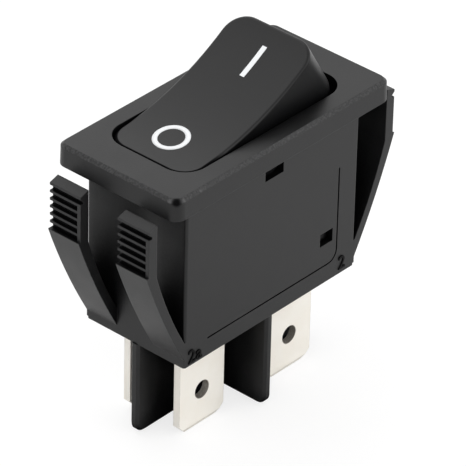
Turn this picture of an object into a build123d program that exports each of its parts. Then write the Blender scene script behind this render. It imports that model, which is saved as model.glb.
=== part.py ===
from build123d import *
import os
from math import cos, pi, radians, sin, tan

# Panel-mount rocker switch, double pole, with quick-connect tabs. Millimetres.
# The origin is the middle of the panel seat, the underside of the bezel: +X runs along the
# bezel towards the I end, +Y across it towards the back pole, and +Z out of the panel.
# At rest the O end is pressed, so both poles are open.

# bezel and body
bezel_length = 30.7
bezel_width = 15.5
bezel_thickness = 2.3
bezel_corner = 1.2
bezel_edge = 0.35
bezel_draft = 1.5
body_length = 24.7
body_width = 12.65
body_depth = 18.45
body_corner = 0.3

# opening that the rocker swings in
opening_length = 23.1
opening_width = 10.9
opening_corner = 2.6

# snap clips, four alike: a leg from a foot on the body's end up to a toothed head
clip_width = 3.95
clip_reach = 5.15
clip_heel = 0.25
clip_bow = 0.3
clip_foot_bottom = -18.2
clip_foot_knee = -17.5
clip_foot_top = -15.5
clip_root = 0.45
clip_head_thickness = 1.1
clip_head_bottom = -5.6
clip_head_top = -0.2
clip_lead = 0.35
clip_inner_knee = -6.0
tooth_count = 6
tooth_depth = 0.42
tooth_land = 0.26
tooth_floor = 0.2
tooth_rim = 0.4

# latch windows in the long walls, one each, and the base's latches in them
latch_x = 8.0
latch_width = 1.85
latch_height = 1.45
latch_centre = -13.25
latch_clearance = 0.1
latch_tongue = 0.6
latch_reach = 0.3

# shallow groove down and along the front wall
groove_x = 9.6
groove_top = -5.9
groove_bottom = -16.45
groove_end_x = -9.1
groove_corner = 1.2
groove_width = 0.2
groove_depth = 0.12

# rocker, measured from its pivot with the rocker level
pivot_height = -1.2
rocker_swing = 37.0
rocker_gap = 0.2
rocker_dish = 5.1
rocker_tip_reach = 9.8
rocker_tip_height = 6.7
rocker_belly_reach = 11.16
rocker_belly_height = 0.64
rocker_skirt_reach = 11.06
rocker_skirt = 1.4
rocker_corner = 2.45
rocker_edge = 0.3
rocker_wall = 1.1
rocker_crown = 1.4
trunnion_radius = 1.25
trunnion_length = 0.5
pivot_clearance = 0.05

# poles and their quick-connect tabs
pole_offset = 3.25
tab_width = 6.35
tab_thickness = 0.8
tab_length = 10.6
tab_chamfer = 1.0
tab_bevel = 0.25
tab_bevel_height = 0.5
tab_hole_radius = 1.0
tab_hole_from_tip = 4.1
neck_width = 4.8
contact_tab_inset = 5.65
pivot_tab_inset = 6.3

# plungers and their springs
plunger_radius = 1.1
plunger_bore_clearance = 0.05
plunger_reach = 6.5
plunger_top = -0.5
plunger_boss_radius = 1.8
plunger_boss_bottom = -2.6
plunger_bore_top = 3.6
spring_wire = 0.32
spring_radius = 0.78
spring_turns = 3.0
spring_sides = 5
spring_seat_gap = 0.02

# contact levers, measured from the fulcrum
lever_swing = 15.0
lever_wing_angle = 7.5
lever_width = 3.0
lever_thickness = 0.7
lever_contact_margin = 1.5
lever_free_end = 4.4
lever_ear_length = 1.2
lever_ear_width = 2.0
lever_ear_thickness = 0.5
lever_ear_clearance = 0.1
fulcrum_height = -8.5
fulcrum_clearance = 0.03
fulcrum_half_width = 0.9
fulcrum_slope = 30.0

# silver contacts
contact_offset = 2.85
contact_radius = 1.15
contact_head = 0.6
contact_shank_radius = 0.6
contact_peen_radius = 0.8
contact_peen = 0.2
contact_gap_closed = 0.05

# contact terminal's bent strip and pivot terminal's blade
joggle_offset = 0.85
joggle_clearance = 0.2
joggle_rise = 1.1
shelf_end_offset = 1.65
bend_radius = 0.45
stop_start = 3.0
stop_end = 4.4
stop_clearance = 0.1
blade_valley = -10.1
blade_arm_bottom = -11.6
blade_neck_rise = 3.0

# terminal base: plate, divider between the poles, and the barriers outside
base_thickness = 2.0
base_clearance = 0.1
slot_clearance = 0.05
divider_thickness = 1.0
divider_top = -7.2
divider_end_gap = 0.8
barrier_thickness = 1.0
barrier_length = 10.55
barrier_span = 24.9
barrier_corner = 1.2
barrier_edge = 0.25

base_bottom = -body_depth
base_top = base_bottom + base_thickness
rest_tilt = rocker_swing / 2
lever_tilt = lever_swing / 2
clip_outer = body_length / 2 + clip_reach
contact_tab_x = contact_tab_inset - body_length / 2
pivot_tab_x = body_length / 2 - pivot_tab_inset
lever_contact_end = lever_contact_margin - contact_tab_x
blade_neck_top = base_top + blade_neck_rise
rocker_width = opening_width - 2 * rocker_gap
trunnion_end = rocker_width / 2 + trunnion_length
window_half = trunnion_radius + pivot_clearance
poles = (("front", -1), ("back", 1))


def tilted_side(height, y, angle):
    """Side-view plane at y whose x axis rises by angle towards +X, through the given height."""
    rise = radians(angle)
    return Plane(origin=(0, y, height), x_dir=(cos(rise), 0, sin(rise)), z_dir=(0, -1, 0))


def tilted_plan(height, y, angle):
    """Plan-view plane that goes with tilted_side."""
    rise = radians(angle)
    return Plane(origin=(0, y, height), x_dir=(cos(rise), 0, sin(rise)), z_dir=(-sin(rise), 0, cos(rise)))


# ---- housing: bezel, body walls and snap clips in one moulding
tooth_pitch = (clip_head_top - clip_lead - clip_head_bottom) / tooth_count
clip_middle = body_width / 2 - clip_width / 2
leg_middle = (clip_reach + clip_heel) / 2
inner_middle = (clip_reach - clip_head_thickness) / 2

with BuildPart() as housing:
    with BuildSketch():
        RectangleRounded(bezel_length, bezel_width, bezel_corner)
    extrude(amount=bezel_thickness, taper=bezel_draft)
    chamfer(housing.faces().sort_by(Axis.Z)[-1].edges(), bezel_edge)
    with BuildSketch():
        RectangleRounded(body_length, body_width, body_corner)
    extrude(amount=-body_depth)

    # one clip's side view at the -X end, then the grooves that leave its teeth
    for side in (-1, 1):
        with BuildSketch(Plane.XZ.offset(side * clip_middle)):
            with BuildLine():
                ThreePointArc(
                    (-body_length / 2, clip_foot_knee),
                    (-body_length / 2 - leg_middle - clip_bow, (clip_foot_knee + clip_head_bottom) / 2),
                    (-clip_outer - clip_heel, clip_head_bottom),
                )
                Polyline(
                    (-clip_outer - clip_heel, clip_head_bottom),
                    (-clip_outer, clip_head_bottom),
                    (-clip_outer, clip_head_top - clip_lead),
                    (-clip_outer + clip_head_thickness, clip_head_top),
                    (-clip_outer + clip_head_thickness, clip_inner_knee),
                )
                ThreePointArc(
                    (-clip_outer + clip_head_thickness, clip_inner_knee),
                    (-body_length / 2 - inner_middle - clip_bow, (clip_foot_top + clip_inner_knee) / 2),
                    (-body_length / 2, clip_foot_top),
                )
                Polyline(
                    (-body_length / 2, clip_foot_top),
                    (-body_length / 2 + clip_root, clip_foot_top),
                    (-body_length / 2 + clip_root, clip_foot_bottom),
                    (-body_length / 2, clip_foot_bottom),
                    (-body_length / 2, clip_foot_knee),
                )
            make_face()
        extrude(amount=clip_width / 2, both=True)

        # a rim on the clip's front side closes every groove but the topmost
        for tooth in range(tooth_count):
            ledge = clip_head_bottom + tooth * tooth_pitch
            cut_width = clip_width if tooth == tooth_count - 1 else clip_width - tooth_rim
            with BuildSketch(Plane.XZ.offset(side * clip_middle - clip_width / 2)):
                with BuildLine():
                    Polyline(
                        (-clip_outer - clip_heel, ledge),
                        (-clip_outer + tooth_depth, ledge),
                        (-clip_outer + tooth_depth, ledge + tooth_floor),
                        (-clip_outer, ledge + tooth_pitch - tooth_land),
                        (-clip_outer - clip_heel, ledge + tooth_pitch - tooth_land),
                        close=True,
                    )
                make_face()
            extrude(amount=cut_width, mode=Mode.SUBTRACT)
    mirror(about=Plane.YZ)

    # the rocker's opening through the bezel, and the square-cornered chamber below it
    with BuildSketch(Plane.XY.offset(bezel_thickness)):
        RectangleRounded(opening_length, opening_width, opening_corner)
    extrude(amount=-bezel_thickness, mode=Mode.SUBTRACT)
    with BuildSketch():
        RectangleRounded(opening_length, opening_width, body_corner)
    extrude(amount=-body_depth, mode=Mode.SUBTRACT)

    # pivot windows under the bezel, through both long walls
    with BuildSketch(Plane.XZ):
        with Locations((0, pivot_height)):
            Rectangle(2 * window_half, 2 * window_half)
    extrude(amount=body_width / 2, both=True, mode=Mode.SUBTRACT)

    # latch windows, one in each long wall at opposite ends
    for side in (-1, 1):
        with BuildSketch(Plane.XZ.offset(-side * opening_width / 2)):
            with Locations((-side * latch_x, latch_centre)):
                Rectangle(latch_width, latch_height)
        extrude(amount=-side * (body_width - opening_width) / 2, mode=Mode.SUBTRACT)

    # groove in the front wall: down beside the latch window, then back along the foot
    with BuildSketch(Plane.XZ.offset(body_width / 2)):
        with BuildLine():
            FilletPolyline(
                (groove_x, groove_top),
                (groove_x, groove_bottom),
                (groove_end_x, groove_bottom),
                radius=groove_corner,
            )
        trace(line_width=groove_width)
    extrude(amount=-groove_depth, mode=Mode.SUBTRACT)

housing.part.label = "housing"

# ---- rocker: concave top, hollow underneath, trunnions and plunger bosses
rocker_side = tilted_side(pivot_height, 0, rest_tilt)
rocker_plan = tilted_plan(pivot_height, 0, rest_tilt)
inner_half_width = rocker_width / 2 - rocker_wall

with BuildPart() as rocker:
    with BuildSketch(rocker_side):
        with BuildLine():
            ThreePointArc(
                (-rocker_tip_reach, rocker_tip_height),
                (0, rocker_dish),
                (rocker_tip_reach, rocker_tip_height),
            )
            Polyline(
                (rocker_tip_reach, rocker_tip_height),
                (rocker_belly_reach, rocker_belly_height),
                (rocker_skirt_reach, -rocker_skirt),
                (-rocker_skirt_reach, -rocker_skirt),
                (-rocker_belly_reach, rocker_belly_height),
                (-rocker_tip_reach, rocker_tip_height),
            )
        make_face()
    extrude(amount=rocker_width / 2, both=True)
    ends = rocker.faces().filter_by(lambda face: abs(face.normal_at().dot(rocker_side.x_dir)) > 0.9)
    corners = ends.edges().filter_by(lambda edge: edge.bounding_box().size.Y < 0.01)
    fillet(corners, rocker_corner)
    top = rocker.faces().filter_by(GeomType.CYLINDER).sort_by(SortBy.AREA)[-1]
    fillet(top.edges(), rocker_edge)

    with BuildSketch(rocker_side):
        with BuildLine():
            inner_tip = (rocker_tip_reach - rocker_wall, rocker_tip_height - rocker_crown)
            ThreePointArc((-inner_tip[0], inner_tip[1]), (0, rocker_dish - rocker_crown), inner_tip)
            Polyline(
                inner_tip,
                (rocker_belly_reach - rocker_wall, rocker_belly_height),
                (rocker_skirt_reach - rocker_wall, -rocker_skirt),
                (rocker_wall - rocker_skirt_reach, -rocker_skirt),
                (rocker_wall - rocker_belly_reach, rocker_belly_height),
                (-inner_tip[0], inner_tip[1]),
            )
        make_face()
    extrude(amount=inner_half_width, both=True, mode=Mode.SUBTRACT)

    with BuildSketch(rocker_plan.offset(plunger_boss_bottom)):
        with Locations((0, -pole_offset), (0, pole_offset)):
            Circle(plunger_boss_radius)
    extrude(amount=rocker_dish - rocker_crown / 2 - plunger_boss_bottom)
    with BuildSketch(rocker_plan.offset(plunger_boss_bottom)):
        with Locations((0, -pole_offset), (0, pole_offset)):
            Circle(plunger_radius + plunger_bore_clearance)
    extrude(amount=plunger_bore_top - plunger_boss_bottom, mode=Mode.SUBTRACT)

    with BuildSketch(rocker_side.offset(-trunnion_end), rocker_side.offset(rocker_width / 2)):
        Circle(trunnion_radius)
    extrude(amount=trunnion_length)

rocker.part.label = "rocker"

# ---- terminal base: plate, pole divider, latches, and the crossed barriers outside
base_length = opening_length - 2 * base_clearance
base_width = opening_width - 2 * base_clearance
latch_top = latch_centre + latch_height / 2 - latch_clearance
nub_end = base_width / 2 + latch_reach
nub_bottom = latch_centre - latch_height / 2 + latch_clearance


def barrier(side_view, length):
    """Barrier blade that hangs from the base, rounded at its lower corners and round its rim."""
    with BuildPart() as blade:
        with BuildSketch(side_view):
            with Locations((0, base_bottom)):
                outline = Rectangle(length, barrier_length, align=(Align.CENTER, Align.MAX))
            fillet(outline.vertices().group_by(Axis.Y)[0], barrier_corner)
        extrude(amount=barrier_thickness / 2, both=True)
        chamfer(blade.edges().filter_by(Axis.Z), barrier_edge)
    return blade


barrier_along = barrier(Plane.XZ, barrier_span)
barrier_across = barrier(Plane.YZ, body_width)

with BuildPart() as terminal_base:
    with BuildSketch(Plane.XY.offset(base_bottom)):
        Rectangle(base_length, base_width)
    extrude(amount=base_thickness)
    with BuildSketch(Plane.XY.offset(base_top)):
        Rectangle(base_length - 2 * divider_end_gap, divider_thickness)
    extrude(amount=divider_top - base_top)

    # crossed barriers: one along the body and one across it
    add(barrier_along.part)
    add(barrier_across.part)

    # slots for the terminals' necks
    with BuildSketch(Plane.XY.offset(base_top)):
        for pole, side in poles:
            with Locations((contact_tab_x, side * pole_offset), (pivot_tab_x, side * pole_offset)):
                Rectangle(neck_width + 2 * slot_clearance, tab_thickness + 2 * slot_clearance)
    extrude(amount=-base_thickness, mode=Mode.SUBTRACT)

    # latches: a tongue up each long wall with a nub in its window
    for side in (-1, 1):
        with BuildSketch(Plane.XY.offset(base_top)):
            with Locations((-side * latch_x, side * (base_width - latch_tongue) / 2)):
                Rectangle(latch_width - 2 * latch_clearance, latch_tongue)
        extrude(amount=latch_top - base_top)
        with BuildSketch(Plane.YZ.offset(-side * latch_x)):
            with BuildLine():
                Polyline(
                    (side * base_width / 2, latch_top),
                    (side * nub_end, latch_centre - latch_height / 4),
                    (side * nub_end, nub_bottom),
                    (side * base_width / 2, nub_bottom),
                    close=True,
                )
            make_face()
        extrude(amount=latch_width / 2 - latch_clearance, both=True)

terminal_base.part.label = "terminal_base"

# ---- one set of inner pieces and terminals for each pole
os.makedirs("parts", exist_ok=True)
tab_bottom = base_bottom - tab_length
fixed_face = fulcrum_height - contact_head - contact_gap_closed
shelf_top = fixed_face - contact_head
blade_tip = fulcrum_height - fulcrum_clearance
blade_shoulder = blade_tip - fulcrum_half_width * tan(radians(fulcrum_slope))


def tab(x, y):
    """Quick-connect tab with its detent hole, chamfered corners and bevelled tip."""
    with BuildPart() as blank:
        with BuildSketch(Plane.XZ.offset(-y)):
            with Locations((x, tab_bottom)):
                outline = Rectangle(tab_width, tab_length, align=(Align.CENTER, Align.MIN))
            chamfer(outline.vertices().group_by(Axis.Y)[0], tab_chamfer)
            with Locations((x, tab_bottom + tab_hole_from_tip)):
                Circle(tab_hole_radius, mode=Mode.SUBTRACT)
        extrude(amount=tab_thickness / 2, both=True)
        with BuildSketch(Plane.YZ):
            with BuildLine():
                Polyline(
                    (y - tab_thickness / 2 + tab_bevel, tab_bottom),
                    (y - tab_thickness / 2, tab_bottom + tab_bevel_height),
                    (y - tab_thickness / 2, base_bottom),
                    (y + tab_thickness / 2, base_bottom),
                    (y + tab_thickness / 2, tab_bottom + tab_bevel_height),
                    (y + tab_thickness / 2 - tab_bevel, tab_bottom),
                    close=True,
                )
            make_face()
        extrude(amount=abs(x) + tab_width, both=True, mode=Mode.INTERSECT)
    return blank


def rivet(seat, x, out, grip):
    """Contact rivet on a seat plane: its head lies on the out side, its shank fills the grip."""
    with BuildPart() as body:
        with BuildSketch(seat):
            with Locations((x, 0)):
                Circle(contact_radius)
        extrude(amount=out * contact_head)
        with BuildSketch(seat):
            with Locations((x, 0)):
                Circle(contact_shank_radius)
        extrude(amount=-out * grip)
        with BuildSketch(seat.offset(-out * grip)):
            with Locations((x, 0)):
                Circle(contact_peen_radius)
        extrude(amount=-out * contact_peen)
    return body


for pole, side in poles:
    pole_y = side * pole_offset
    contact_y = side * contact_offset

    # plunger: a pin with a round nose, and its spring in the bore above it
    plunger_plan = tilted_plan(pivot_height, pole_y, rest_tilt)
    with BuildPart() as plunger:
        with BuildSketch(tilted_side(pivot_height, pole_y, rest_tilt)):
            with BuildLine():
                nose_top = plunger_radius - plunger_reach
                nose_middle = (plunger_radius * sin(pi / 4), nose_top - plunger_radius * cos(pi / 4))
                Polyline(
                    (0, -plunger_reach),
                    (0, plunger_top),
                    (plunger_radius, plunger_top),
                    (plunger_radius, nose_top),
                )
                ThreePointArc((plunger_radius, nose_top), nose_middle, (0, -plunger_reach))
            make_face()
        revolve(axis=Axis(plunger_plan.origin, plunger_plan.z_dir))
    plunger.part.label = f"plunger_{pole}"

    spring_start = plunger_top + spring_wire / 2 + spring_seat_gap
    spring_length = plunger_bore_top - spring_wire / 2 - spring_seat_gap - spring_start
    with BuildPart() as plunger_spring:
        with BuildLine():
            foot = plunger_plan.offset(spring_start)
            coil = Helix(spring_length / spring_turns, spring_length, spring_radius, foot.origin, foot.z_dir)
        with BuildSketch(Plane(origin=coil @ 0, x_dir=foot.z_dir, z_dir=coil % 0)):
            RegularPolygon(spring_wire / 2, spring_sides)
        sweep(path=coil, is_frenet=True)
    plunger_spring.part.label = f"plunger_spring_{pole}"

    # contact lever: a shallow V strip on the fulcrum, with ears that straddle the blade
    contact_wing = tilted_plan(fulcrum_height, contact_y, -lever_tilt - lever_wing_angle)
    with BuildPart() as contact_lever:
        with BuildSketch(tilted_side(fulcrum_height, pole_y, -lever_tilt)):
            with BuildLine():
                rise = tan(radians(lever_wing_angle))
                upright = lever_thickness / cos(radians(lever_wing_angle))
                Polyline(
                    (0, 0),
                    (lever_free_end, lever_free_end * rise),
                    (lever_free_end, lever_free_end * rise + upright),
                    (0, upright),
                    (-lever_contact_end, lever_contact_end * rise + upright),
                    (-lever_contact_end, lever_contact_end * rise),
                    close=True,
                )
            make_face()
        extrude(amount=lever_width / 2, both=True)
        ear_height = lever_ear_length + upright / 2
        for ear in (-1, 1):
            ear_y = pole_y + ear * (tab_thickness / 2 + lever_ear_clearance + lever_ear_thickness / 2)
            with BuildSketch(tilted_side(fulcrum_height, ear_y, -lever_tilt)):
                with Locations((0, -lever_ear_length)):
                    Rectangle(lever_ear_width, ear_height, align=(Align.CENTER, Align.MIN))
            extrude(amount=lever_ear_thickness / 2, both=True)
        with BuildSketch(contact_wing):
            with Locations((contact_tab_x, 0)):
                Circle(contact_shank_radius)
        extrude(amount=lever_thickness, mode=Mode.SUBTRACT)
    contact_lever.part.label = f"contact_lever_{pole}"

    lever_contact = rivet(contact_wing, contact_tab_x, -1, lever_thickness)
    lever_contact.part.label = f"lever_contact_{pole}"

    # contact terminal: tab below, then a strip joggled outwards and bent in to a shelf
    shelf_plan = Plane(origin=(0, contact_y, shelf_top))
    contact_tab = tab(contact_tab_x, pole_y)
    with BuildPart() as contact_terminal:
        add(contact_tab.part)
        with BuildSketch(Plane.YZ.offset(contact_tab_x)):
            with BuildLine():
                joggle_y = side * (pole_offset + joggle_offset)
                shelf_middle = shelf_top - tab_thickness / 2
                FilletPolyline(
                    (pole_y, base_bottom),
                    (pole_y, base_top + joggle_clearance),
                    (joggle_y, base_top + joggle_clearance + joggle_rise),
                    (joggle_y, shelf_middle),
                    (side * (pole_offset - shelf_end_offset), shelf_middle),
                    radius=bend_radius,
                )
            trace(line_width=tab_thickness)
        extrude(amount=neck_width / 2, both=True)
        with BuildSketch(shelf_plan):
            with Locations((contact_tab_x, 0)):
                Circle(contact_shank_radius)
        extrude(amount=-tab_thickness, mode=Mode.SUBTRACT)
    contact_terminal.part.label = f"contact_terminal_{pole}"

    fixed_contact = rivet(shelf_plan, contact_tab_x, 1, tab_thickness)
    fixed_contact.part.label = f"fixed_contact_{pole}"

    # pivot terminal: one flat blade from the tab to the fulcrum and the lever's stop
    pivot_tab = tab(pivot_tab_x, pole_y)
    with BuildPart() as pivot_terminal:
        add(pivot_tab.part)
        with BuildSketch(Plane.XZ.offset(-pole_y)):
            with BuildLine():
                Polyline(
                    (pivot_tab_x - neck_width / 2, base_bottom),
                    (pivot_tab_x - neck_width / 2, blade_neck_top),
                    (-fulcrum_half_width, blade_arm_bottom),
                    (-fulcrum_half_width, blade_shoulder),
                    (0, blade_tip),
                    (fulcrum_half_width, blade_shoulder),
                    (fulcrum_half_width, blade_valley),
                    (stop_start, blade_valley),
                    (stop_start, fulcrum_height - stop_clearance),
                    (stop_end, fulcrum_height - stop_clearance),
                    (stop_end, blade_arm_bottom),
                    (pivot_tab_x + neck_width / 2, blade_neck_top),
                    (pivot_tab_x + neck_width / 2, base_bottom),
                    close=True,
                )
            make_face()
        extrude(amount=tab_thickness / 2, both=True)
    pivot_terminal.part.label = f"pivot_terminal_{pole}"

    for piece in (plunger, plunger_spring, contact_lever, lever_contact):
        export_step(piece.part, f"parts/{piece.part.label}.step")
    for piece in (contact_terminal, fixed_contact, pivot_terminal):
        export_step(piece.part, f"parts/{piece.part.label}.step")

for piece in (housing, rocker, terminal_base):
    export_step(piece.part, f"parts/{piece.part.label}.step")
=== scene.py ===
from math import cos, radians, sin

import bpy
from mathutils import Euler, Matrix, Vector


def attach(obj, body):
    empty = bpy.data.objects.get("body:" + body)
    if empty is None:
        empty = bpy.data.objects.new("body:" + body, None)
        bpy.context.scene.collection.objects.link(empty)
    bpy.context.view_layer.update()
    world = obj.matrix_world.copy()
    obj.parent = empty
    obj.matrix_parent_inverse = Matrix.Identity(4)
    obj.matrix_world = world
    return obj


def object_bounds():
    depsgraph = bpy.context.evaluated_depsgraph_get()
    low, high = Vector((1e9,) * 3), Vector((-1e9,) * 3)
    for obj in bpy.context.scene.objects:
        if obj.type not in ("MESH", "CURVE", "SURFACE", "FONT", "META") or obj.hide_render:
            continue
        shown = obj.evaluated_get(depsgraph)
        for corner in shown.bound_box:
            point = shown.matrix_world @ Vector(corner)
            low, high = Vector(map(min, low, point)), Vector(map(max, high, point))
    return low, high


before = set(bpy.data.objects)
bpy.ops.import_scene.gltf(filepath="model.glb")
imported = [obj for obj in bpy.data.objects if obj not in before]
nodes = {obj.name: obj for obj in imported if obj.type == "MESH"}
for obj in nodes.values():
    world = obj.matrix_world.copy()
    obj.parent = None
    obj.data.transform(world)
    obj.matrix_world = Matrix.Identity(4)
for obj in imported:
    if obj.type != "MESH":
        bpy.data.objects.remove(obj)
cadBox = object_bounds()
scene = bpy.context.scene
mm = 0.001
print("frame loaded,", len(nodes), "nodes")


# a wire is one output of a node tree; arithmetic on wires adds Math nodes
class Wire:
    def __init__(self, socket):
        self.socket = socket

    def node(self, kind, output, settings, inputs):
        tree = self.socket.id_data
        made = tree.nodes.new(kind)
        for name, value in settings.items():
            setattr(made, name, value)
        for name, value in inputs.items():
            for each in value if isinstance(value, list) else [value]:
                if isinstance(each, Wire):
                    tree.links.new(each.socket, made.inputs[name])
                else:
                    made.inputs[name].default_value = each
        return Wire(made.outputs[output])

    def maths(self, operation, first, second):
        return self.node("ShaderNodeMath", "Value", {"operation": operation}, {0: first, 1: second})

    def __add__(self, other):
        return self.maths("ADD", self, other)

    def __radd__(self, other):
        return self.maths("ADD", other, self)

    def __sub__(self, other):
        return self.maths("SUBTRACT", self, other)

    def __rsub__(self, other):
        return self.maths("SUBTRACT", other, self)

    def __mul__(self, other):
        return self.maths("MULTIPLY", self, other)

    def __rmul__(self, other):
        return self.maths("MULTIPLY", other, self)

    def __truediv__(self, other):
        return self.maths("DIVIDE", self, other)

    def __rtruediv__(self, other):
        return self.maths("DIVIDE", other, self)

    def larger(self, other):
        return self.maths("MAXIMUM", self, other)

    def ramp(self, low, high):
        # 0 at low and 1 at high, with a smooth rise between them
        smooth = {"interpolation_type": "SMOOTHSTEP"}
        ends = {"Value": self, "From Min": low, "From Max": high}
        return self.node("ShaderNodeMapRange", "Result", smooth, ends)

    def mix(self, first, second):
        # the first colour where this wire is 0, the second where it is 1
        return self.node("ShaderNodeMix", 2, {"data_type": "RGBA"}, {0: self, 6: first, 7: second})

    def part(self, axis):
        return self.node("ShaderNodeSeparateXYZ", axis, {}, {"Vector": self})

    def vector(self, **parts):
        return self.node("ShaderNodeCombineXYZ", "Vector", {}, parts)

    def vectorMaths(self, operation, inputs, output="Vector"):
        return self.node("ShaderNodeVectorMath", output, {"operation": operation}, inputs)


# ---- materials; lengths and places in the settings are in mm
seeds = {
    "cloud": 1.3,
    "grain": 4.1,
    "speckle": 7.7,
    "wearAndHighlight": 9.2,
    "rim": 6.6,
    "metalCloud": 2.2,
    "lines": 5.5,
    "pits": 8.4,
    "inkPatch": 3.1,
    "inkPores": 6.3,
    "floor": 1.0,
}
samples = {"bevel": 6, "openness": 8}


def newMaterial(name):
    made = bpy.data.materials.new(name)
    made.use_nodes = True
    made.node_tree.nodes.clear()
    coordinates = made.node_tree.nodes.new("ShaderNodeTexCoord")
    return made, Wire(coordinates.outputs["Object"])


def showSurface(shader):
    tree = shader.socket.id_data
    output = tree.nodes.new("ShaderNodeOutputMaterial")
    tree.links.new(shader.socket, output.inputs["Surface"])


def faceNormal(where):
    return where.node("ShaderNodeNewGeometry", "Normal", {}, {})


def roundedNormal(where, radius):
    settings = {"samples": samples["bevel"]}
    return where.node("ShaderNodeBevel", "Normal", settings, {"Radius": radius * mm})


def openness(where, reach, local):
    # 1 in the open, less where other surfaces stand within the reach
    settings = {"samples": samples["openness"], "only_local": local}
    return where.node("ShaderNodeAmbientOcclusion", "AO", settings, {"Distance": reach * mm})


def noise(where, size, detail, seed, stretch=(1, 1, 1)):
    # size is that of one patch, along an axis whose stretch is 1
    squeezed = where.vectorMaths("DIVIDE", {0: where, 1: stretch})
    inputs = {"Vector": squeezed, "W": seeds[seed], "Scale": 1 / (size * mm), "Detail": detail}
    return where.node("ShaderNodeTexNoise", "Fac", {"noise_dimensions": "4D"}, inputs)


def relief(where, height, depth, normal):
    inputs = {"Height": height, "Distance": depth * mm, "Strength": 1.0, "Normal": normal}
    return where.node("ShaderNodeBump", "Normal", {}, inputs)


def edgeMask(where, rounded, ends):
    # 1 on a sharp edge, 0 on the faces beside it
    along = where.vectorMaths("DOT_PRODUCT", {0: rounded, 1: faceNormal(where)}, "Value")
    return (1 - along).ramp(*ends)


def rimMask(where, rim):
    # 1 in patches along the sloping rim of the bezel
    slope = faceNormal(where).part("Z")
    sloping = slope.ramp(*rim["upright"]) * (1 - slope.ramp(*rim["level"]))
    low, high = rim["height"]
    height = where.part("Z").ramp(low * mm, high * mm)
    return sloping * height * noise(where, rim["patch"], 3, "rim").ramp(*rim["cover"])


def spot(where, place, size):
    # 1 near the place, and 0 beyond the size
    full = size * 0.4
    away = where.vectorMaths("DISTANCE", {0: where, 1: Vector(place) * mm}, "Value")
    return 1 - away.ramp(full * mm, size * mm)


def sunkMask(where, sunk):
    # 1 on the rocker's outer rim where it sits below the bezel's top, in the shade of its opening
    along = where.part("X")
    across = where.part("Y")
    height = where.part("Z")
    past = (0 - along - sunk["along"] * mm).larger(0)
    beside = (across.maths("ABSOLUTE", across, 0) - sunk["across"] * mm).larger(0)
    away = along.maths("SQRT", past * past + beside * beside, 0)
    inner = sunk["corner"] - sunk["band"]
    band = away.ramp(inner * mm, (inner + sunk["fade"]) * mm)
    above = height.ramp(sunk["foot"][0] * mm, sunk["foot"][1] * mm)
    below = 1 - height.ramp(sunk["top"][0] * mm, sunk["top"][1] * mm)
    return band * above * below


def plastic(name, look):
    made, where = newMaterial(name)
    cloud = noise(where, look["cloud"], 3, "cloud")
    grain = noise(where, look["grain"], 2, "grain")
    speckle = noise(where, look["grain"] * 0.7, 1, "speckle")
    rounded = roundedNormal(where, look["edge"])
    # edges lighter in patches: partly wear, partly a painted highlight
    patches = noise(where, look["wearHighlightPatch"], 2, "wearAndHighlight").ramp(*look["wearHighlightCover"])
    wearAndHighlight = edgeMask(where, rounded, look["wearHighlightEdge"]) * patches
    dust = speckle.ramp(look["dust"], look["dust"] + 0.05)
    colour = cloud.ramp(*look["cloudEnds"]).mix(look["dark"], look["light"])
    colour = (wearAndHighlight * look["wearHighlightShare"]).mix(colour, look["scuffAndHighlight"])
    colour = (dust * look["dustTint"]).mix(colour, look["scuffAndHighlight"])
    # the bezel's sloping rim lighter in patches: partly rubbed, partly a painted highlight
    if look["rim"]:
        colour = (rimMask(where, look["rim"]) * look["rim"]["rubAndHighlight"]).mix(colour, look["scuffAndHighlight"])
    for place, size in look["nicks"]:
        colour = (spot(where, place, size) * look["nickTint"]).mix(colour, look["scuffAndHighlight"])
    uneven = (cloud - 0.5) * look["cloudGloss"]
    inputs = {
        "Base Color": colour,
        "Roughness": look["roughness"] + uneven + (speckle - 0.5) * look["speckleGloss"],
        "Specular IOR Level": look["shine"],
        "Normal": relief(where, grain, look["relief"], rounded),
    }
    satin = where.node("ShaderNodeBsdfPrincipled", "BSDF", {}, inputs)
    # painted shade: a dark matt mix darkens crevices, upright sides, dents and the rocker's sunk rim,
    # where shade falls
    shut = (1 - openness(where, look["reach"], False)).ramp(look["shut"], look["closed"]) * look["paintedShade"]
    across = faceNormal(where).part("Y")
    paintedShade = shut.larger((across * across).ramp(*look["upright"]) * look["side"])
    if look["sunk"]:
        paintedShade = paintedShade.larger(sunkMask(where, look["sunk"]) * look["sunk"]["paintedShade"])
    # painted shade of a dent, as a dark spot at each listed place
    for place, size in look["shadedDents"]:
        paintedShade = paintedShade.larger(spot(where, place, size) * look["dentShade"])
    shadeShader = where.node("ShaderNodeBsdfDiffuse", "BSDF", {}, {"Color": look["dark"]})
    showSurface(where.node("ShaderNodeMixShader", "Shader", {}, {0: paintedShade, 1: satin, 2: shadeShader}))
    return made


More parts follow.
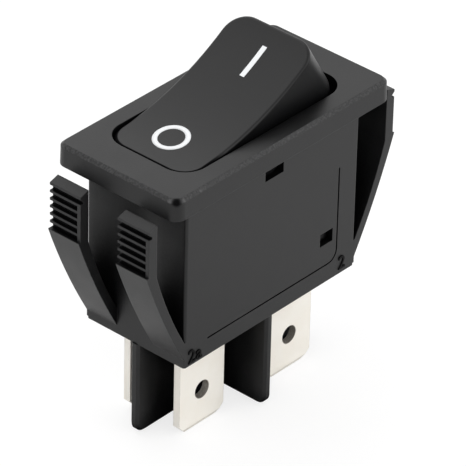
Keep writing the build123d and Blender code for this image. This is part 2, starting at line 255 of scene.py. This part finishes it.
def metal(name, look):
    made, where = newMaterial(name)
    cloud = noise(where, look["cloud"], 3, "metalCloud")
    lines = noise(where, look["line"], 2, "lines", look["stretch"])
    pits = noise(where, look["pit"], 2, "pits")
    rounded = roundedNormal(where, look["edge"])
    # edges take the rim colour: a painted outline, painted shade on the brass and a painted highlight
    # on the other metals
    bright = edgeMask(where, rounded, look["paintedEdgeLine"])
    colour = cloud.ramp(*look["cloudEnds"]).mix(look["dark"], look["light"])
    colour = (pits.ramp(*look["pitEnds"]) * look["pitTint"]).mix(colour, look["stain"])
    colour = (bright * look["edgeTint"]).mix(colour, look["rim"])
    # faces that point down take the rim colour, a painted shade on the brass and a painted highlight on
    # the paler metals, and holes are darkened inside as painted shade
    down = 0 - faceNormal(where).part("Z")
    colour = (down.ramp(*look["downEnds"]) * look["downTint"]).mix(colour, look["rim"])
    hollow = (1 - openness(where, look["reach"], True)).ramp(*look["hollow"])
    uneven = (cloud - 0.5) * look["cloudGloss"]
    height = lines * look["lineShare"] + pits * (1 - look["lineShare"])
    inputs = {
        "Base Color": hollow.mix(colour, look["holeShadeColour"]),
        "Metallic": look["metallic"],
        "Roughness": look["roughness"] + uneven + (lines - 0.5) * look["lineGloss"],
        "Normal": relief(where, height, look["relief"], rounded),
    }
    showSurface(where.node("ShaderNodeBsdfPrincipled", "BSDF", {}, inputs))
    return made


# what the plastics share, unless a look says otherwise
plainPlastic = {
    "cloudEnds": (0.3, 0.7),
    "cloudGloss": 0.16,
    "speckleGloss": 0.12,
    "wearHighlightEdge": (0.02, 0.16),
    "wearHighlightPatch": 0.9,
    "wearHighlightCover": (0.38, 0.66),
    "dustTint": 0.35,
    "paintedShade": 0.95,
    "side": 0.0,
    "upright": (0.6, 0.95),
    "sunk": None,
    "rim": None,
    "nicks": [],
    "nickTint": 0.6,
    "shadedDents": [],
    "dentShade": 0.95,
}
plastics = {
    "black_nylon": {
        "dark": (0.0035, 0.0035, 0.0038, 1),
        "light": (0.0058, 0.0058, 0.0062, 1),
        "scuffAndHighlight": (0.1, 0.1, 0.102, 1),
        "roughness": 0.42,
        "shine": 0.38,
        "reach": 5.0,
        "shut": 0.26,
        "closed": 0.6,
        "rim": {
            "rubAndHighlight": 0.4,
            "upright": (0.3, 0.6),
            "level": (0.8, 0.97),
            "height": (1.7, 1.9),
            "patch": 0.2,
            "cover": (0.35, 0.75),
        },
        "nicks": [((-15.3, -6.75, 2.2), 0.4), ((-14.2, -7.7, 2.2), 0.35), ((-11.9, -7.7, 2.2), 0.3)],
        # a painted shade spot at the bezel's near corner
        "shadedDents": [((-15.0, -7.4, 2.15), 0.7)],
        "cloud": 3.2,
        "grain": 0.11,
        "relief": 0.012,
        "edge": 0.11,
        "wearHighlightShare": 0.35,
        "dust": 0.71,
    },
    "rocker_nylon": {
        "dark": (0.0032, 0.0032, 0.0035, 1),
        "light": (0.005, 0.005, 0.0054, 1),
        "scuffAndHighlight": (0.08, 0.08, 0.082, 1),
        "roughness": 0.36,
        "shine": 0.29,
        "reach": 3.0,
        "shut": 0.2,
        "closed": 0.45,
        "side": 0.5,
        "sunk": {
            "along": 8.8,
            "across": 2.8,
            "corner": 2.45,
            "band": 0.32,
            "fade": 0.12,
            "foot": (1.75, 1.85),
            "top": (2.2, 2.5),
            "paintedShade": 0.97,
        },
        "cloud": 4.5,
        "grain": 0.085,
        "relief": 0.007,
        "edge": 0.1,
        "wearHighlightShare": 0.25,
        "dust": 0.72,
    },
    # a darker, less shiny copy of the black nylon so the moulded numbers read as dark strokes: painted
    # shade
    "number_nylon": {
        "dark": (0.0008, 0.0008, 0.001, 1),
        "light": (0.0016, 0.0016, 0.0018, 1),
        "scuffAndHighlight": (0.06, 0.06, 0.06, 1),
        "roughness": 0.5,
        "shine": 0.08,
        "reach": 1.0,
        "shut": 0.2,
        "closed": 0.6,
        "paintedShade": 0.5,
        "cloud": 1.0,
        "grain": 0.07,
        "relief": 0.002,
        "edge": 0.03,
        "wearHighlightShare": 0.3,
        "dust": 0.76,
    },
    "white_acetal": {
        "dark": (0.78, 0.78, 0.74, 1),
        "light": (0.84, 0.84, 0.81, 1),
        "scuffAndHighlight": (0.9, 0.9, 0.88, 1),
        "roughness": 0.32,
        "shine": 0.5,
        "reach": 1.0,
        "shut": 0.6,
        "closed": 1.0,
        "paintedShade": 0.1,
        "cloud": 2.0,
        "grain": 0.07,
        "relief": 0.002,
        "edge": 0.06,
        "wearHighlightShare": 0.2,
        "dust": 0.8,
    },
}
# what the metals share, unless a look says otherwise
plainMetal = {
    "metallic": 1.0,
    "cloud": 2.6,
    "cloudEnds": (0.25, 0.75),
    "cloudGloss": 0.2,
    "lineGloss": 0.15,
    "lineShare": 0.7,
    "pit": 0.16,
    "pitEnds": (0.66, 0.74),
    "pitTint": 0.5,
    "paintedEdgeLine": (0.03, 0.2),
    "edgeTint": 0.85,
    "downEnds": (0.1, 0.4),
    "downTint": 0.6,
    "reach": 3,
    "hollow": (0.12, 0.35),
}
metals = {
    "tinned_brass": {
        "dark": (0.96, 0.915, 0.83, 1),
        "light": (0.99, 0.955, 0.885, 1),
        "stain": (0.7, 0.64, 0.54, 1),
        "rim": (0.6, 0.57, 0.51, 1),
        "holeShadeColour": (0.12, 0.1, 0.08, 1),
        "roughness": 0.42,
        "metallic": 0.2,
        "line": 0.09,
        "stretch": (1, 1, 14),
        "relief": 0.004,
        "edge": 0.09,
    },
    "spring_steel": {
        "dark": (0.52, 0.52, 0.54, 1),
        "light": (0.66, 0.66, 0.68, 1),
        "stain": (0.3, 0.28, 0.26, 1),
        "rim": (0.8, 0.8, 0.8, 1),
        "holeShadeColour": (0.2, 0.2, 0.2, 1),
        "roughness": 0.28,
        "line": 0.06,
        "stretch": (1, 1, 3),
        "relief": 0.002,
        "edge": 0.03,
    },
    "copper_strip": {
        "dark": (0.6, 0.31, 0.19, 1),
        "light": (0.75, 0.43, 0.28, 1),
        "stain": (0.32, 0.17, 0.11, 1),
        "rim": (0.88, 0.6, 0.44, 1),
        "holeShadeColour": (0.2, 0.11, 0.07, 1),
        "roughness": 0.3,
        "line": 0.08,
        "stretch": (12, 1, 1),
        "relief": 0.003,
        "edge": 0.05,
    },
    "silver_contact": {
        "dark": (0.8, 0.79, 0.76, 1),
        "light": (0.9, 0.89, 0.87, 1),
        "stain": (0.45, 0.42, 0.38, 1),
        "rim": (0.95, 0.95, 0.94, 1),
        "holeShadeColour": (0.3, 0.28, 0.26, 1),
        "roughness": 0.24,
        "line": 0.1,
        "stretch": (1, 1, 1),
        "relief": 0.003,
        "edge": 0.05,
    },
}
finishes = {name: plastic(name, {**plainPlastic, **look}) for name, look in plastics.items()}
finishes.update({name: metal(name, {**plainMetal, **look}) for name, look in metals.items()})
for node in nodes.values():
    for slot in node.material_slots:
        name = slot.material.name.split(".")[0]
        slot.link = "OBJECT"
        slot.material = finishes[name]

ink = {
    "dark": (0.89, 0.91, 0.93, 1),
    "light": (0.94, 0.95, 0.96, 1),
    "thin": (0.4, 0.4, 0.42, 1),
    "thinTint": 0.55,
    "thinEnds": (0.66, 0.78),
    "patch": 0.35,
    "pore": 0.09,
    "roughness": 0.5,
    "poreGloss": 0.2,
    "shine": 0.3,
    "relief": 0.004,
}


def inkMaterial():
    made, where = newMaterial("white_ink")
    pores = noise(where, ink["pore"], 2, "inkPores")
    body = noise(where, ink["patch"], 3, "inkPatch").mix(ink["dark"], ink["light"])
    inputs = {
        "Base Color": (pores.ramp(*ink["thinEnds"]) * ink["thinTint"]).mix(body, ink["thin"]),
        "Roughness": ink["roughness"] + (pores - 0.5) * ink["poreGloss"],
        "Specular IOR Level": ink["shine"],
        "Normal": relief(where, pores, ink["relief"], faceNormal(where)),
    }
    showSurface(where.node("ShaderNodeBsdfPrincipled", "BSDF", {}, inputs))
    return made


whiteInk = inkMaterial()
print("materials made,", len(finishes) + 1)


# ---- geometry trees
def geometryTree(name, inputs):
    tree = bpy.data.node_groups.new(name, "GeometryNodeTree")
    tree.interface.new_socket("Geometry", in_out="OUTPUT", socket_type="NodeSocketGeometry")
    tree.interface.new_socket("Geometry", in_out="INPUT", socket_type="NodeSocketGeometry")
    kinds = {bpy.types.Object: "NodeSocketObject", bpy.types.Material: "NodeSocketMaterial"}
    for label, value in inputs.items():
        kind = kinds.get(type(value), "NodeSocketFloat")
        tree.interface.new_socket(label, in_out="INPUT", socket_type=kind)
    given = tree.nodes.new("NodeGroupInput")
    return tree, {label: Wire(given.outputs[label]) for label in inputs}


def moved(geometry, place):
    inputs = {"Geometry": geometry, "Translation": place}
    return geometry.node("GeometryNodeTransform", "Geometry", {}, inputs)


def swept(route, width, height):
    # a rectangular section along a curve
    section = {"Width": width, "Height": height}
    profile = route.node("GeometryNodeCurvePrimitiveQuadrilateral", "Curve", {}, section)
    return route.node("GeometryNodeCurveToMesh", "Mesh", {}, {"Curve": route, "Profile Curve": profile})


def endTree(tree, geometry, material):
    real = geometry.node("GeometryNodeRealizeInstances", "Geometry", {}, {"Geometry": geometry})
    inputs = {"Geometry": real, "Material": material}
    painted = geometry.node("GeometryNodeSetMaterial", "Geometry", {}, inputs)
    output = tree.nodes.new("NodeGroupOutput")
    tree.links.new(painted.socket, output.inputs["Geometry"])


def grow(name, tree, inputs):
    # runs the tree once and keeps its result as a plain mesh
    empty = bpy.data.objects.new(name + "_seed", bpy.data.meshes.new(name + "_seed"))
    scene.collection.objects.link(empty)
    modifier = empty.modifiers.new("tree", "NODES")
    modifier.node_group = tree
    for item in tree.interface.items_tree:
        if item.in_out == "INPUT" and item.name in inputs:
            modifier[item.identifier] = inputs[item.name]
    bpy.context.view_layer.update()
    grown = empty.evaluated_get(bpy.context.evaluated_depsgraph_get())
    mesh = bpy.data.meshes.new_from_object(grown)
    mesh.name = name
    bpy.data.objects.remove(empty)
    made = bpy.data.objects.new(name, mesh)
    scene.collection.objects.link(made)
    return made


# ---- the I and O marks, printed on the dished top of the rocker
marks = {
    "tilt": 18.5,
    "pivot": -1.2,
    "start": 9.0,
    "proud": 0.02,
    "depth": 0.06,
    "ringX": -5.8,
    "ringY": 0.3,
    "ringOuter": 1.84,
    "ringInner": 1.32,
    "ringSteps": 96,
    "barX": 5.785,
    "barY": -0.11,
    "barLength": 3.7,
    "barWidth": 0.55,
    "barCuts": (40, 6, 2),
}


def marksTree(inputs):
    tree, given = geometryTree("printedMarks", inputs)
    first = given["Ring radius"]
    circle = {"Resolution": marks["ringSteps"], "Radius": first}
    route = first.node("GeometryNodeCurvePrimitiveCircle", "Curve", {}, circle)
    ring = swept(route, given["Ring width"], given["Ink depth"])
    ring = moved(ring, first.vector(X=given["Ring x"], Y=given["Ring y"]))
    size = first.vector(X=given["Bar length"], Y=given["Bar width"], Z=given["Ink depth"])
    cuts = dict(zip(("Vertices X", "Vertices Y", "Vertices Z"), marks["barCuts"]))
    bar = first.node("GeometryNodeMeshCube", "Mesh", {}, {"Size": size, **cuts})
    bar = moved(bar, first.vector(X=given["Bar x"], Y=given["Bar y"]))
    both = first.node("GeometryNodeJoinGeometry", "Geometry", {}, {"Geometry": [ring, bar]})
    # each point drops along the rocker's own axis and keeps its height in the ink
    place = first.node("GeometryNodeInputPosition", "Position", {}, {})
    turn = first.vector(Y=0 - given["Tilt"])
    spin = {"rotation_type": "EULER_XYZ"}
    up = first.node("ShaderNodeVectorRotate", "Vector", spin, {"Vector": (0, 0, 1), "Rotation": turn})
    turned = first.node("ShaderNodeVectorRotate", "Vector", spin, {"Vector": place, "Rotation": turn})
    lift = first.vectorMaths("SCALE", {0: up, "Scale": given["Start"]})
    raised = first.vectorMaths("ADD", {0: turned, 1: lift})
    rocker = first.node("GeometryNodeObjectInfo", "Geometry", {}, {"Object": given["Rocker"]})
    ray = {
        "Target Geometry": rocker,
        "Source Position": first.vectorMaths("ADD", {0: raised, 1: first.vector(Z=given["Pivot"])}),
        "Ray Direction": first.vectorMaths("SCALE", {0: up, "Scale": -1}),
    }
    hit = first.node("GeometryNodeRaycast", "Hit Position", {}, ray)
    rise = place.part("Z") - given["Ink depth"] / 2 + given["Proud"]
    over = first.vectorMaths("SCALE", {0: up, "Scale": rise})
    landed = first.vectorMaths("ADD", {0: hit, 1: over})
    laid = first.node("GeometryNodeSetPosition", "Geometry", {}, {"Geometry": both, "Position": landed})
    endTree(tree, laid, given["Ink"])
    return tree


inkInputs = {
    "Rocker": nodes["rocker"],
    "Ink": whiteInk,
    "Tilt": radians(marks["tilt"]),
    "Pivot": marks["pivot"] * mm,
    "Start": marks["start"] * mm,
    "Proud": marks["proud"] * mm,
    "Ink depth": marks["depth"] * mm,
    "Ring radius": (marks["ringOuter"] + marks["ringInner"]) / 2 * mm,
    "Ring width": (marks["ringOuter"] - marks["ringInner"]) * mm,
    "Ring x": marks["ringX"] * mm,
    "Ring y": marks["ringY"] * mm,
    "Bar length": marks["barLength"] * mm,
    "Bar width": marks["barWidth"] * mm,
    "Bar x": marks["barX"] * mm,
    "Bar y": marks["barY"] * mm,
}
printedMarks = grow("printed_marks", marksTree(inkInputs), inkInputs)
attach(printedMarks, "rocker")
print("marks laid,", len(printedMarks.data.polygons), "faces")


# ---- terminal numbers, moulded proud of the two long walls
numbers = {
    "wall": 6.325,
    "height": 2.15,
    "proud": 0.1,
    "sunk": 0.05,
    "bolder": 0.01,
    "front": [("2a", -10.85, -17.5), ("2", 10.45, -17.3)],
    "back": [("1a", 10.85, -17.5), ("1", -10.45, -17.3)],
}


def mouldedText(text, x, z, side):
    curve = bpy.data.curves.new("number", "FONT")
    curve.body = text
    curve.size = numbers["height"] * mm
    curve.align_x = "CENTER"
    curve.align_y = "CENTER"
    curve.extrude = (numbers["proud"] + numbers["sunk"]) / 2 * mm
    curve.offset = numbers["bolder"] * mm
    made = bpy.data.objects.new("number", curve)
    scene.collection.objects.link(made)
    facing = Euler((radians(90), 0, 0 if side < 0 else radians(180)), "XYZ").to_matrix().to_4x4()
    depth = numbers["wall"] + (numbers["proud"] - numbers["sunk"]) / 2
    place = Matrix.Translation(Vector((x, side * depth, z)) * mm)
    bpy.context.view_layer.update()
    mesh = bpy.data.meshes.new_from_object(made.evaluated_get(bpy.context.evaluated_depsgraph_get()))
    mesh.transform(place @ facing)
    bpy.data.objects.remove(made)
    return mesh


def joined(name, meshes, material):
    points = []
    faces = []
    for mesh in meshes:
        start = len(points)
        points += [tuple(vertex.co) for vertex in mesh.vertices]
        faces += [[start + index for index in face.vertices] for face in mesh.polygons]
    whole = bpy.data.meshes.new(name)
    whole.from_pydata(points, [], faces)
    whole.materials.append(material)
    made = bpy.data.objects.new(name, whole)
    scene.collection.objects.link(made)
    return made


written = [mouldedText(text, x, z, -1) for text, x, z in numbers["front"]]
written += [mouldedText(text, x, z, 1) for text, x, z in numbers["back"]]
terminalNumbers = joined("terminal_numbers", written, finishes["number_nylon"])
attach(terminalNumbers, "housing")
print("numbers set,", len(terminalNumbers.data.polygons), "faces")


# ---- the bond line that closes the joint between the base and the body
bond = {
    "length": 23.0,
    "width": 10.8,
    "bead": 0.13,
    "height": 0.5,
    "level": -18.1,
}


def bondTree(inputs):
    tree, given = geometryTree("bondLine", inputs)
    first = given["Length"]
    around = {"Width": first, "Height": given["Width"]}
    route = first.node("GeometryNodeCurvePrimitiveQuadrilateral", "Curve", {}, around)
    bead = swept(route, given["Bead"], given["Bead height"])
    endTree(tree, moved(bead, first.vector(Z=given["Level"])), given["Plastic"])
    return tree


bondInputs = {
    "Plastic": finishes["black_nylon"],
    "Length": bond["length"] * mm,
    "Width": bond["width"] * mm,
    "Bead": bond["bead"] * mm,
    "Bead height": bond["height"] * mm,
    "Level": bond["level"] * mm,
}
bondLine = grow("bond_line", bondTree(bondInputs), bondInputs)
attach(bondLine, "housing")
print("bond line laid,", len(bondLine.data.polygons), "faces")


# ---- floor, light and camera
stage = {
    "floor": cadBox[0].z,
    "span": 1.6,
    "tint": ((0.93, 0.93, 0.93, 1), (0.95, 0.95, 0.95, 1)),
    "patch": 90,
    "shaded": (0.28, 0.28, 0.28, 1),
    "glow": 0.77,
    "sky": (1, 1, 1, 1),
    "surround": 0.78,
}


def floorMaterial():
    made, where = newMaterial("floor_white")
    # the camera sees a darker floor that glows, so shadows stay soft; the pieces see a plain one
    seen = where.node("ShaderNodeLightPath", "Is Camera Ray", {}, {})
    tint = noise(where, stage["patch"], 2, "floor").mix(*stage["tint"])
    colour = seen.mix(tint, stage["shaded"])
    matt = where.node("ShaderNodeBsdfDiffuse", "BSDF", {}, {"Color": colour})
    glow = where.node("ShaderNodeEmission", "Emission", {}, {"Strength": stage["glow"]})
    both = where.node("ShaderNodeAddShader", "Shader", {}, {0: matt, 1: glow})
    front = where.node("ShaderNodeMixShader", "Shader", {}, {0: seen, 1: matt, 2: both})
    behind = where.node("ShaderNodeNewGeometry", "Backfacing", {}, {})
    clear = where.node("ShaderNodeBsdfTransparent", "BSDF", {}, {})
    showSurface(where.node("ShaderNodeMixShader", "Shader", {}, {0: behind, 1: front, 2: clear}))
    return made


half = stage["span"] / 2
corners = [(-half, -half), (half, -half), (half, half), (-half, half)]
floorMesh = bpy.data.meshes.new("floor")
floorMesh.from_pydata([(x, y, stage["floor"]) for x, y in corners], [], [(0, 1, 2, 3)])
floorMesh.materials.append(floorMaterial())
floor = bpy.data.objects.new("floor", floorMesh)
scene.collection.objects.link(floor)

# the sky is white to the camera and in reflections, and dimmer as a light
world = bpy.data.worlds.new("studio")
world.use_nodes = True
world.node_tree.nodes.clear()
seen = Wire(world.node_tree.nodes.new("ShaderNodeLightPath").outputs["Is Camera Ray"])
glossy = seen.node("ShaderNodeLightPath", "Is Glossy Ray", {}, {})
through = seen.node("ShaderNodeLightPath", "Is Transmission Ray", {}, {})
bright = seen.larger(glossy).larger(through)
strength = stage["surround"] + bright * (1 - stage["surround"])
sky = seen.node("ShaderNodeBackground", "Background", {}, {"Color": stage["sky"], "Strength": strength})
worldOutput = world.node_tree.nodes.new("ShaderNodeOutputWorld")
world.node_tree.links.new(sky.socket, worldOutput.inputs["Surface"])
scene.world = world


def direction(azimuth, elevation):
    # from the object towards a lamp or the camera; azimuth 0 is the front
    around = radians(azimuth)
    above = radians(elevation)
    return Vector((sin(around) * cos(above), -cos(around) * cos(above), sin(above)))


# distance and size in m, power in W
lamps = {
    "key": {"azimuth": -120, "elevation": 62, "distance": 0.55, "size": 0.4, "power": 0.35},
    "back": {"azimuth": 160, "elevation": 47, "distance": 0.6, "size": 0.6, "power": 0.86},
    "front": {"azimuth": 30, "elevation": 22, "distance": 0.5, "size": 0.5, "power": 0.75},
}
middle = (cadBox[0] + cadBox[1]) / 2
for name, lamp in lamps.items():
    towards = direction(lamp["azimuth"], lamp["elevation"])
    data = bpy.data.lights.new(name, "AREA")
    data.shape = "SQUARE"
    data.size = lamp["size"]
    data.energy = lamp["power"]
    light = bpy.data.objects.new(name, data)
    light.location = middle + towards * lamp["distance"]
    light.rotation_mode = "QUATERNION"
    light.rotation_quaternion = (-towards).to_track_quat("-Z", "Y")
    scene.collection.objects.link(light)

# aim and distance in mm, lens and sensor in mm, near and far in m
shot = {
    "aim": (0.03, -1.278, -11.18),
    "azimuth": -48.971,
    "elevation": 33.459,
    "roll": 1.435,
    "distance": 456.016,
    "lens": 366.263,
    "sensor": 36,
    "near": 0.01,
    "far": 10,
}
towards = direction(shot["azimuth"], shot["elevation"])
level = Vector((0, 0, 1)).cross(towards).normalized()
roll = radians(shot["roll"])
right = cos(roll) * level + sin(roll) * towards.cross(level)
cameraData = bpy.data.cameras.new("camera")
cameraData.sensor_width = shot["sensor"]
cameraData.lens = shot["lens"]
cameraData.clip_start = shot["near"]
cameraData.clip_end = shot["far"]
camera = bpy.data.objects.new("camera", cameraData)
turned = Matrix((right, towards.cross(right), towards)).transposed().to_4x4()
turned.translation = (Vector(shot["aim"]) + towards * shot["distance"]) * mm
camera.matrix_world = turned
scene.collection.objects.link(camera)
scene.camera = camera
scene.view_settings.view_transform = "Standard"
print("stage, light and camera set")
